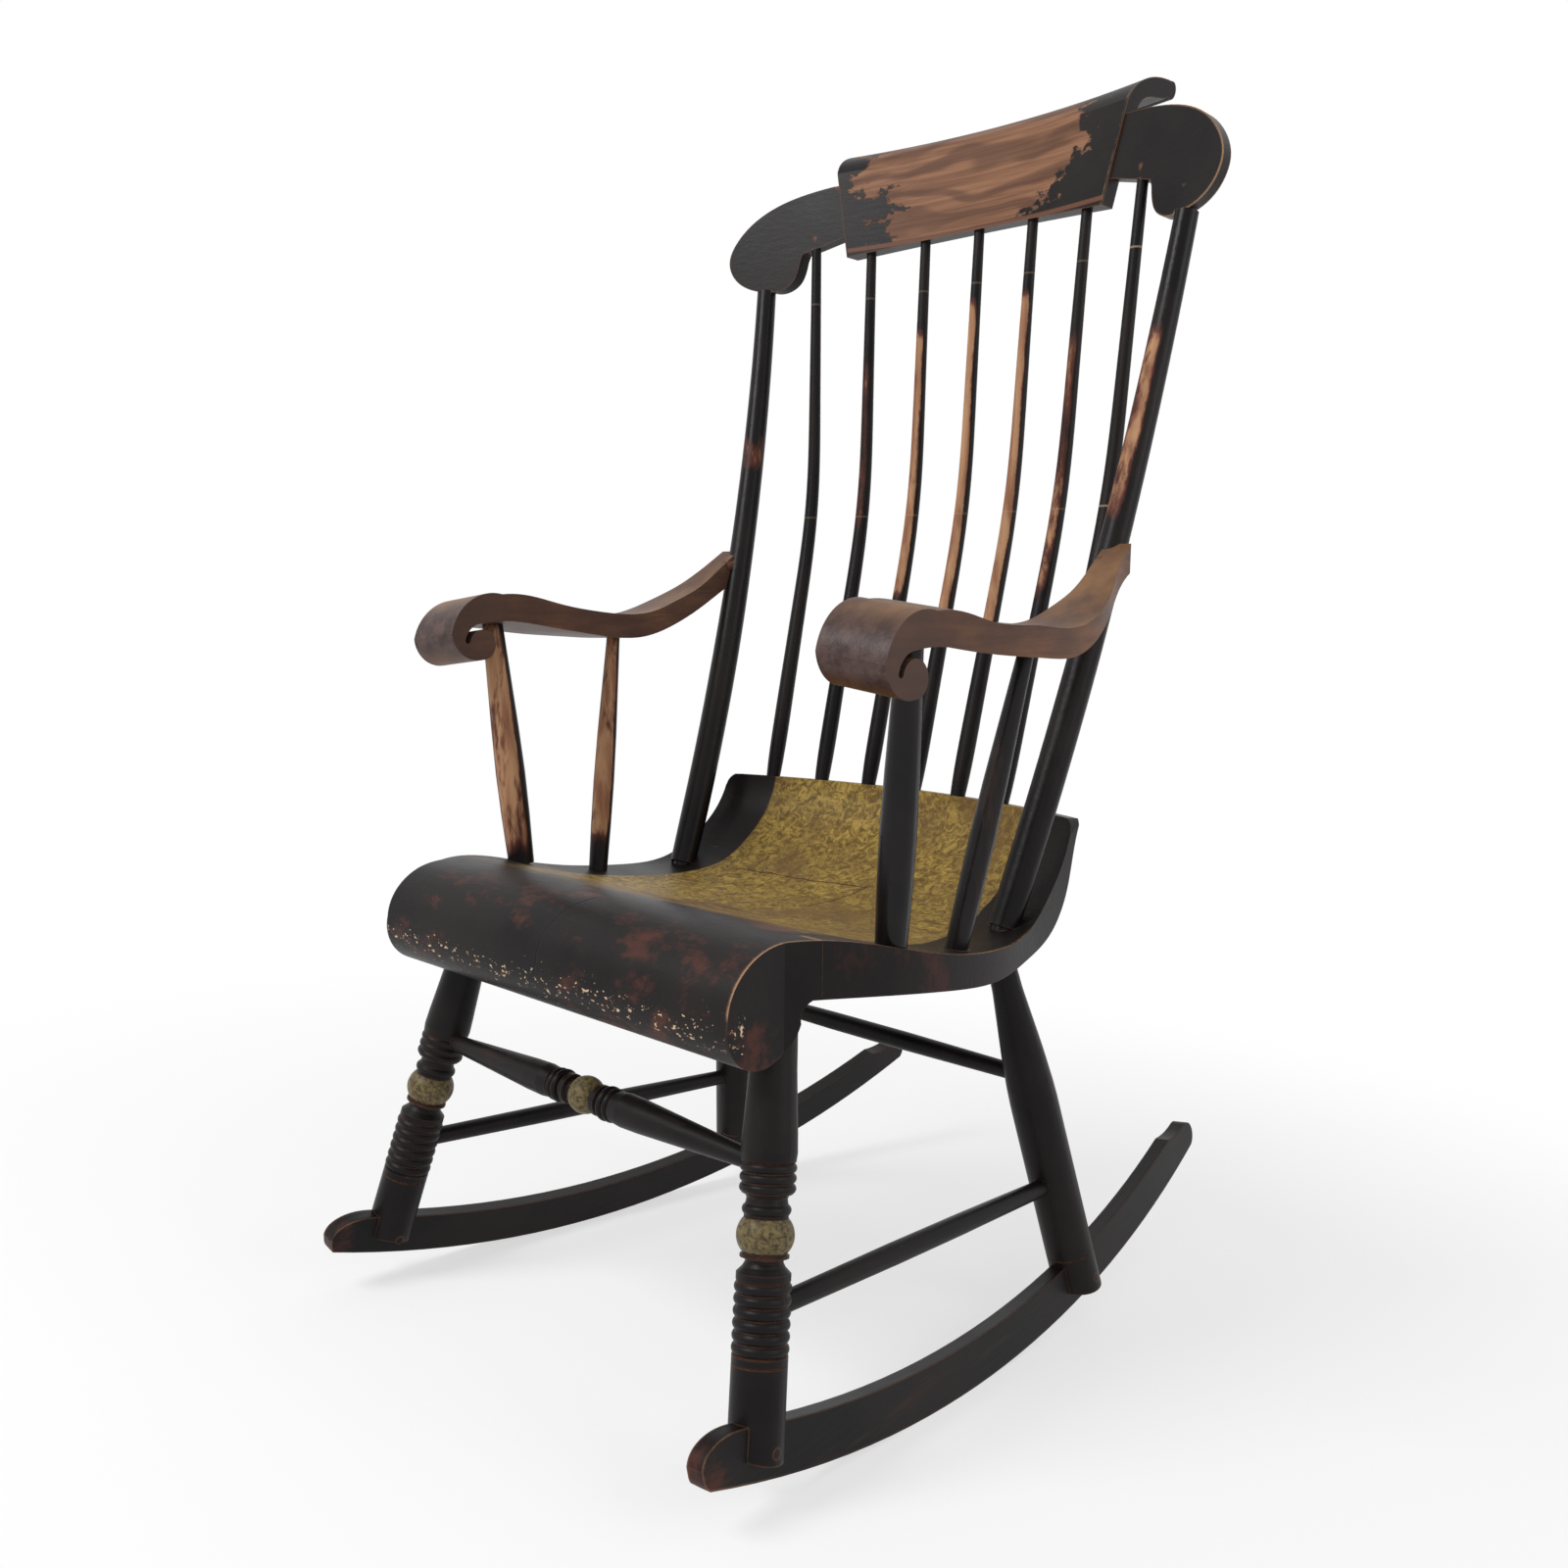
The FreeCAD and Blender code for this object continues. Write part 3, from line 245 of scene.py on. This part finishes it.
def front_wear(paint, low, high, amount, fade=0.03, side=0.0, tint=TAN_WOOD):
    """Paint rubbed through to the wood on the face that points forward, or a little to one side."""
    facing = paint.facing[1] * -1.0 + paint.facing[0] * side
    ragged = paint.noise(38, (1.0, 1.0, 0.18), detail=6, rough=0.7)
    cover = facing.rise(-0.2, 0.95, 0.0, 1.0) * paint.z.within(low, high, fade)
    worn = cover * amount + ragged * 0.55
    speck = paint.noise(260, (1.0, 1.0, 0.3), detail=3)
    paint.layer(worn.rise(0.66, 0.78), RED_GROUND, 0.5)
    tan = paint.shade(paint.noise(120, (1.0, 1.0, 0.08), detail=4).rise(0.3, 0.7), RED_WOOD, tint)
    paint.layer((worn + speck * 0.12).rise(0.8, 0.88), tan, 0.55, -0.3)


def spindle_finish(index, low, high, amount):
    paint = black_paint("spindle_paint_%d" % index, index * 11)
    front_wear(paint, low, high, amount)
    ring = (paint.z - 0.905).size().rise(0.0004, 0.0012, 1.0, 0.0)
    ring = ring.either((paint.z - 0.690).size().rise(0.0004, 0.0012, 1.0, 0.0))
    paint.layer(ring * (0.35 if index == 7 else 0.1), CHIP, 0.5)
    return paint.finish()


def post_finish(name, seed, low, high, amount, side):
    paint = black_paint(name, seed, gloss=0.06)
    front_wear(paint, low, high, amount, side=side)
    return paint.finish()


def crest_finish():
    """The rail: its middle rubbed bare, with ragged black left at both ends."""
    paint = black_paint("crest_paint", 5, grain=(0.1, 1.0, 1.0), wear=0.7)
    x, z = paint.x, paint.z
    swirl = paint.noise(7, (1.0, 0.3, 3.2), detail=2) * 6.0
    rings = (z * 240.0 + swirl * 2.6).math("SINE").rise(-0.3, 0.95)
    fibre = paint.noise(90, (0.05, 1.0, 2.5), detail=5, rough=0.65)
    wood = paint.shade(fibre.rise(0.3, 0.7), CREST_DARK, CREST_LIGHT)
    wood = paint.shade(rings * 0.6, wood, CREST_RING)
    ragged = paint.noise(24, (0.8, 1.0, 1.4), detail=7, rough=0.68)
    blots = paint.noise(55, (0.8, 1.0, 1.2), detail=4, rough=0.6)
    left = z.rise(0.985, 1.025, -0.107, -0.142)
    right = z.rise(0.955, 1.0, 0.066, 0.118)
    inside = (x - left).math("MINIMUM", right - x)
    bare = (inside * 16.0 + ragged * 2.8 + blots * 1.6).rise(2.15, 2.3)
    front = paint.facing[1].rise(-0.75, -0.35, 1.0, 0.0)
    bare = bare * z.rise(0.9545, 0.9575) * front
    dirt = paint.noise(14, (0.4, 1.0, 1.2), detail=6, rough=0.7)
    paint.layer(bare, wood, 0.5, -0.25)
    paint.layer(bare * dirt.rise(0.56, 0.72) * 0.4, UMBER)
    lean = z.rise(0.947, 1.06, 0.0, 1.0, False)
    end_line = (x - (0.1415 + lean * 0.025)).size().rise(0.0004, 0.0010, 1.0, 0.0)
    paint.layer(end_line * front * ragged.rise(0.35, 0.6) * 0.5, END_LINE, 0.5)
    low_line = (z - 0.9535).size().rise(0.0012, 0.0028, 1.0, 0.0) * x.size().rise(0.142, 0.146, 1.0, 0.0)
    paint.layer(low_line * front * 0.5, RED_WOOD, 0.5)
    outer = paint.arris(0.003) * x.rise(0.19, 0.23)
    paint.layer(outer * (ragged + 0.35).rise(0.6, 0.8) * 0.8, TAN_WOOD, 0.5)
    return paint.finish()


# Hairline cracks in the seat: across the roll, and along the joint at the back
SEAT_CRACKS = [
    ((0.007, -0.250), (0.001, -0.300)),
    ((-0.124, 0.038), (0.020, 0.054)),
    ((0.011, -0.020), (0.020, 0.054)),
]


def crack(paint, start, end):
    """A crooked dark hairline between two points of the seat, seen from above."""
    length = math.dist(start, end)
    way_x = (end[0] - start[0]) / length
    way_y = (end[1] - start[1]) / length
    from_x = paint.x - start[0]
    from_y = paint.y - start[1]
    wander = (paint.noise(40, detail=3) - 0.5) * 0.008
    along = from_x * way_x + from_y * way_y
    across = from_x * way_y - from_y * way_x + wander
    line = across.size().rise(0.0003, 0.0009, 1.0, 0.0) * along.within(0.0, length, 0.004)
    paint.layer(line * paint.facing[2].rise(-0.2, 0.2), CRACK, 0.6, -0.8)


def seat_finish():
    """Olive gold inside a black border; worn red at the front, with chips and bare arrises."""
    paint = black_paint("seat_paint", 9, grain=(0.2, 1.0, 1.0), wear=0.45)
    x, y, z = paint.x, paint.y, paint.z
    up = paint.facing[2]
    half = y.rise(-0.075, 0.045, 0.180, 0.153, False)
    border = (half - x.size()).rise(0.0, 0.0025)
    front_fade = paint.noise(16, (1.0, 1.0, 1.0), detail=6, rough=0.65)
    ahead = (y + front_fade * 0.12).rise(-0.155, -0.10)
    top = (up.rise(-0.1, 0.2) + y.rise(0.05, 0.07)).math("MINIMUM", 1.0)
    behind = paint.facing[1].rise(0.2, 0.4, 1.0, 0.0)
    gold = border * ahead * top * behind
    dab = paint.noise(120, (1.0, 1.0, 1.0), detail=5, rough=0.75, warp=1.2)
    patch = paint.noise(11, detail=5, rough=0.6)
    olive = paint.shade(dab.rise(0.38, 0.68), GOLD_DARK, GOLD)
    olive = paint.shade(patch.rise(0.42, 0.68) * 0.75, olive, GOLD_BROWN)
    paint.layer(gold, olive, 0.5, 0.1)
    rub = paint.noise(13, (1.0, 1.6, 1.0), detail=6, rough=0.7) + y.within(-0.22, -0.10, 0.05) * 0.12
    before_gold = y.rise(-0.09, -0.05, 1.0, 0.0) * up.rise(-0.2, 0.3)
    paint.layer(rub.rise(0.60, 0.72) * before_gold * 0.85, RED_GROUND, 0.42)
    stain = paint.noise(26, (0.7, 1.0, 1.0), detail=6, rough=0.7)
    ahead_of_legs = y.rise(-0.27, -0.24, 1.0, 0.0)
    paint.layer(stain.rise(0.52, 0.66) * ahead_of_legs * 0.6, RED_GROUND, 0.42)
    chips = paint.noise(170, (0.7, 1.0, 1.0), detail=4, rough=0.7)
    flakes = paint.noise(300, (0.6, 1.0, 1.0), detail=3, rough=0.6)
    low = z.within(0.318, 0.350, 0.020) * y.rise(-0.285, -0.27, 1.0, 0.0)
    paint.layer((chips + low * 0.20).rise(0.79, 0.82), CHIP, 0.6, -0.3)
    paint.layer((flakes + low * 0.185).rise(0.80, 0.83) * 0.8, CHIP, 0.6, -0.2)
    near_arris = paint.arris(0.006) * x.rise(0.180, 0.195) * z.rise(0.335, 0.355)
    top_side = paint.facing[0].size().rise(0.5, 0.8, 1.0, 0.0) * y.rise(-0.02, 0.03, 1.0, 0.0)
    bare = (near_arris * 0.42 + stain * 0.8).rise(0.60, 0.74) * top_side
    paint.layer(bare * 0.9, BARE_ARRIS, 0.55, -0.3)
    for start, end in SEAT_CRACKS:
        crack(paint, start, end)
    return paint.finish()


def bronze(paint, share):
    speck = paint.noise(300, detail=4, rough=0.7)
    metal = paint.shade(speck.rise(0.35, 0.65), BRASS_DARK, BRASS)
    paint.layer(share, metal, 0.38)


def arm_finish():
    """Brown stained wood: golden on its crown, from wear and painted light from above; darker on the
    scroll's front; painted shade on the scroll's sides.
    """
    paint = Paint("arm_wood", RED_WOOD, 40)
    y, z = paint.y, paint.z
    up = paint.facing[2]
    fibre = paint.noise(120, (1.0, 0.07, 1.0), detail=5, rough=0.65)
    cloud = paint.noise(16, (1.0, 0.6, 1.0), detail=5, rough=0.6)
    base = paint.shade(cloud.rise(0.35, 0.7), ARM_DARK, ARM_BROWN)
    base = paint.shade(fibre.rise(0.35, 0.7) * 0.6, base, ARM_FIBRE)
    paint.colour = base
    paint.rough = cloud.rise(0.3, 0.7, 0.42, 0.54)
    paint.height = fibre * 0.3 + paint.noise(600, detail=2) * 0.15
    # The top is lighter golden brown: partly the worn crown, partly painted light from above.
    crown = up.rise(0.35, 0.95) * (cloud + 0.2).rise(0.5, 0.9)
    paint.layer(crown * 0.7, ARM_CROWN_WEAR_AND_LIGHT)
    front = paint.facing[1].rise(-0.95, -0.35, 1.0, 0.0) * y.rise(-0.19, -0.175, 1.0, 0.0)
    speck = paint.noise(70, detail=5, rough=0.7)
    dusk = paint.shade(speck.rise(0.35, 0.65), SCROLL_DARK, SCROLL_LIGHT)
    paint.layer(front, dusk, 0.36)
    # The scroll's side faces are darkened here: painted shade.
    side = paint.facing[0].size().rise(0.6, 0.95) * y.rise(-0.19, -0.16, 1.0, 0.0)
    paint.layer(side * 0.6, ARM_SIDE_SHADE, 0.5)
    return paint.finish(0.2)


def rocker_finish():
    # The strong edge rub here is real wear and also painted highlight: the lighter line along the
    # rounded top arris.
    paint = black_paint("rocker_paint", 60, grain=(1.0, 0.08, 1.0), wear=0.7)
    y = paint.y
    ragged = paint.noise(26, (1.0, 0.4, 1.0), detail=6, rough=0.7)
    toe = y.rise(-0.30, -0.345)
    paint.layer((toe * 0.22 + ragged * 0.7).rise(0.54, 0.68) * 0.7, RED_GROUND, 0.5)
    heel = y.rise(0.25, 0.34)
    paint.layer((heel * 0.25 + ragged * 0.7).rise(0.6, 0.75) * 0.6, RED_GROUND, 0.5)
    edge = paint.arris(0.0025)
    paint.layer(edge * (ragged + 0.2).rise(0.6, 0.8) * y.rise(-0.27, -0.33) * 0.8, TAN_WOOD, 0.5)
    return paint.finish(soft=0.0028)


def front_leg_finish():
    """Black, with the ball between its necks in bronze."""
    paint = black_paint("front_leg_paint", 70, wear=0.6)
    foot = Vector(LEG_FOOT)
    way = (Vector(LEG_TOP) - foot).normalized()
    up = paint.x.size() * way.x + paint.y * way.y + paint.z * way.z - foot.dot(way)
    bronze(paint, up.within(*LEG_BALL, 0.0004))
    return paint.finish()


def front_stretcher_finish():
    paint = black_paint("front_stretcher_paint", 80, grain=(0.12, 1.0, 1.0), wear=0.6)
    bronze(paint, paint.x.size().rise(0.0112, 0.0120, 1.0, 0.0))
    return paint.finish()


def dress(name, material):
    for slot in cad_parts[name].material_slots:
        slot.material = material


def both(name, material):
    for side in ("_left", "_right"):
        dress(name + side, material)


# How high up each spindle is rubbed, from the sitter's right to the left, and how much
SPINDLE_WEAR = [
    (0.72, 0.86, 0.10),
    (0.60, 0.86, 0.42),
    (0.60, 0.88, 0.60),
    (0.56, 0.90, 0.62),
    (0.56, 0.90, 0.58),
    (0.60, 0.86, 0.50),
    (0.72, 0.86, 0.12),
]

for index, (low, high, amount) in enumerate(SPINDLE_WEAR, start=1):
    dress("spindle_%d" % index, spindle_finish(index, low, high, amount))
dress("crest_rail", crest_finish())
seat_paint = seat_finish()
for board in ("seat_front_roll", "seat_plank", "seat_back_riser"):
    dress(board, seat_paint)
both("arm", arm_finish())
rocker_paint = rocker_finish()
both("rocker", rocker_paint)
both("front_leg", front_leg_finish())
plain = black_paint("leg_paint", 90, wear=0.6).finish()
both("back_leg", plain)
both("front_rocker_peg", plain)
both("back_rocker_peg", plain)
dress("front_stretcher", front_stretcher_finish())
along_x = black_paint("cross_rail_paint", 100, grain=(0.12, 1.0, 1.0)).finish()
dress("rear_stretcher", along_x)
both("side_stretcher", black_paint("side_rail_paint", 105, grain=(1.0, 0.12, 1.0)).finish())
dress("back_post_left", post_finish("left_post_paint", 110, 0.66, 0.84, 0.52, -0.5))
dress("back_post_right", post_finish("right_post_paint", 120, 0.72, 0.785, 0.50, 0.8))
worn_support = post_finish("right_support_paint", 130, 0.37, 0.60, 0.53, 0.8)
dress("arm_front_support_right", worn_support)
dress("arm_rear_support_right", worn_support)
near_support = black_paint("left_support_paint", 140, gloss=0.12).finish(0.2)
dress("arm_front_support_left", near_support)
dress("arm_rear_support_left", near_support)


def make_floor():
    """A pale floor that fades into white and keeps the shadow."""
    bpy.ops.mesh.primitive_plane_add(size=FLOOR_SIZE, location=(0.0, 0.0, 0.0))
    floor = bpy.context.object
    floor.name = "floor"
    material = bpy.data.materials.new("floor")
    material.use_nodes = True
    tree = material.node_tree
    tree.nodes.clear()
    output = tree.nodes.new("ShaderNodeOutputMaterial")
    mix = tree.nodes.new("ShaderNodeMixShader")
    diffuse = tree.nodes.new("ShaderNodeBsdfDiffuse")
    diffuse.inputs["Color"].default_value = FLOOR_PALE
    glow = tree.nodes.new("ShaderNodeEmission")
    place = tree.nodes.new("ShaderNodeNewGeometry")
    length = tree.nodes.new("ShaderNodeVectorMath")
    length.operation = "LENGTH"
    fade = tree.nodes.new("ShaderNodeMapRange")
    fade.interpolation_type = "SMOOTHSTEP"
    fade.inputs["From Min"].default_value = FLOOR_FADE_START
    fade.inputs["From Max"].default_value = FLOOR_FADE_END
    fade.inputs["To Min"].default_value = FLOOR_GLOW
    tree.links.new(place.outputs["Position"], length.inputs[0])
    tree.links.new(length.outputs["Value"], fade.inputs["Value"])
    tree.links.new(fade.outputs["Result"], mix.inputs["Fac"])
    tree.links.new(diffuse.outputs["BSDF"], mix.inputs[1])
    tree.links.new(glow.outputs["Emission"], mix.inputs[2])
    tree.links.new(mix.outputs["Shader"], output.inputs["Surface"])
    floor.data.materials.append(material)


def make_world():
    """White where it is seen or mirrored, dimmer where it lights."""
    world = bpy.data.worlds.new("studio")
    bpy.context.scene.world = world
    world.use_nodes = True
    tree = world.node_tree
    background = tree.nodes["Background"]
    rays = tree.nodes.new("ShaderNodeLightPath")
    seen = tree.nodes.new("ShaderNodeMath")
    seen.operation = "MAXIMUM"
    both_seen = tree.nodes.new("ShaderNodeMath")
    both_seen.operation = "MAXIMUM"
    tree.links.new(rays.outputs["Is Camera Ray"], seen.inputs[0])
    tree.links.new(rays.outputs["Is Glossy Ray"], seen.inputs[1])
    tree.links.new(seen.outputs["Value"], both_seen.inputs[0])
    tree.links.new(rays.outputs["Is Transmission Ray"], both_seen.inputs[1])
    strength = tree.nodes.new("ShaderNodeMapRange")
    strength.inputs["To Min"].default_value = WORLD_LIGHT
    tree.links.new(both_seen.outputs["Value"], strength.inputs["Value"])
    tree.links.new(strength.outputs["Result"], background.inputs["Strength"])
    background.inputs["Color"].default_value = (1.0, 1.0, 1.0, 1.0)


def make_lamp(name, place, size, power):
    data = bpy.data.lights.new(name, "AREA")
    data.shape = "DISK"
    data.size = size
    data.energy = power
    lamp = bpy.data.objects.new(name, data)
    lamp.location = place
    lamp.rotation_euler = (Vector(LAMP_AIM) - Vector(place)).to_track_quat("-Z", "Y").to_euler()
    bpy.context.scene.collection.objects.link(lamp)


def make_camera():
    data = bpy.data.cameras.new("camera")
    data.lens = CAMERA_LENS
    data.sensor_width = 36.0
    camera = bpy.data.objects.new("camera", data)
    camera.location = CAMERA_PLACE
    camera.rotation_euler = [math.radians(angle) for angle in CAMERA_TURN]
    bpy.context.scene.collection.objects.link(camera)
    bpy.context.scene.camera = camera


make_floor()
make_world()
make_lamp("key", **KEY_LAMP)
make_lamp("fill", **FILL_LAMP)
make_camera()
bpy.context.scene.view_settings.view_transform = "Standard"
